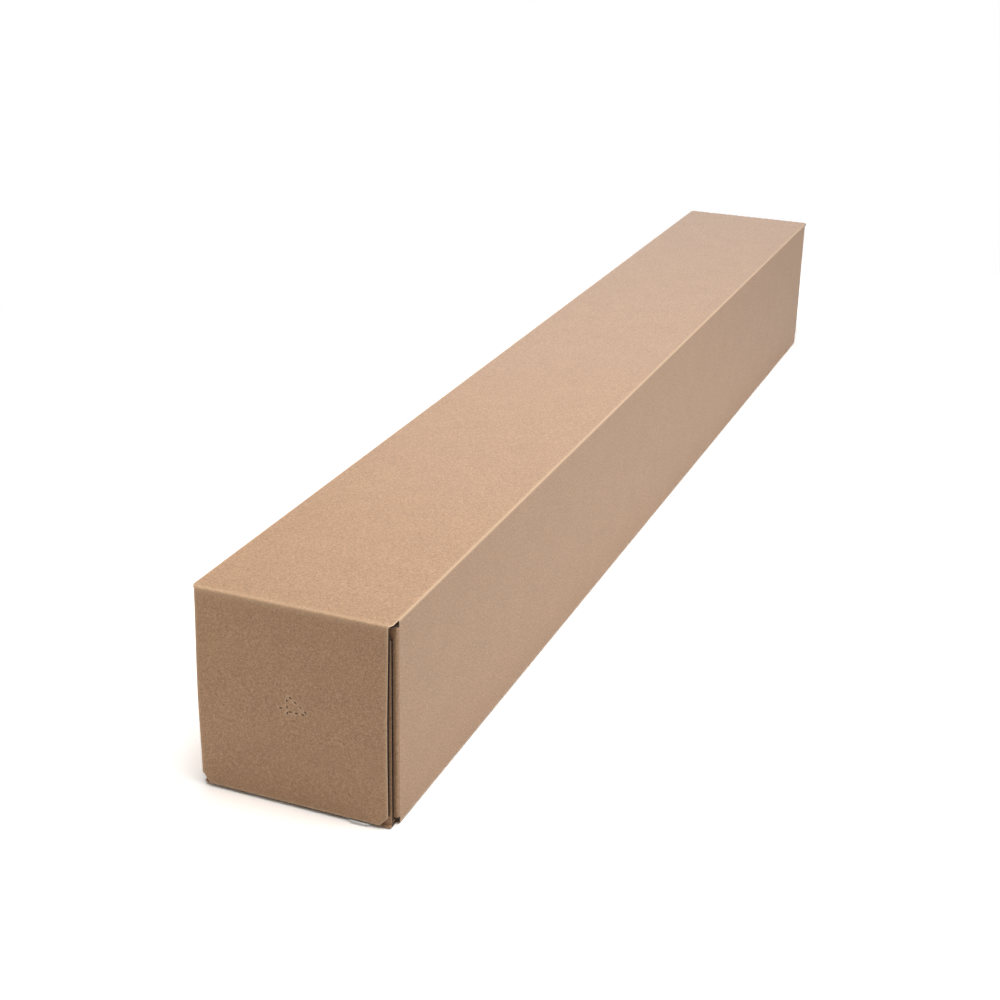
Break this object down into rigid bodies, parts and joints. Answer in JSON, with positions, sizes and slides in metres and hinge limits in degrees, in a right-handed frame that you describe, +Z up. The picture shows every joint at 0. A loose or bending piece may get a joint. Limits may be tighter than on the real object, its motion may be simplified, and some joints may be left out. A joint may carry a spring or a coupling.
{
  "type": "long shipping box",
  "caption": "Long square shipping box of folded corrugated board, closed at the ends by overlapping flaps whose outer ones swing open.",
  "frame": {"origin": "middle of the box's underside, on the floor", "axes": "+Z up, +Y along the length from the near end (the one with the perforated mark) to the far end, +X across to the right seen from the near end"},
  "size_m": [0.126, 1.0238, 0.13],
  "materials": {
    "kraft_board": "uncoated brown kraft liner",
    "adhesive": "tacky, half clear",
    "release_paper": "smooth white silicone-coated paper"
  },
  "bodies": {
    "box": {"box_body": "kraft_board"},
    "near_flap": {"near_outer_flap": "kraft_board", "near_adhesive_strip": "adhesive", "near_release_liner": "release_paper"},
    "far_flap": {"far_outer_flap": "kraft_board", "far_adhesive_strip": "adhesive", "far_release_liner": "release_paper"}
  },
  "joints": [
    {"name": "near_flap_hinge", "type": "hinge", "parent": "box", "child": "near_flap", "pos_m": [0, -0.50959, 0.12919], "axis": [-1, 0, 0], "range_deg": [0, 180]},
    {"name": "far_flap_hinge", "type": "hinge", "parent": "box", "child": "far_flap", "pos_m": [0, 0.50959, 0.12919], "axis": [1, 0, 0], "range_deg": [0, 180]}
  ]
}
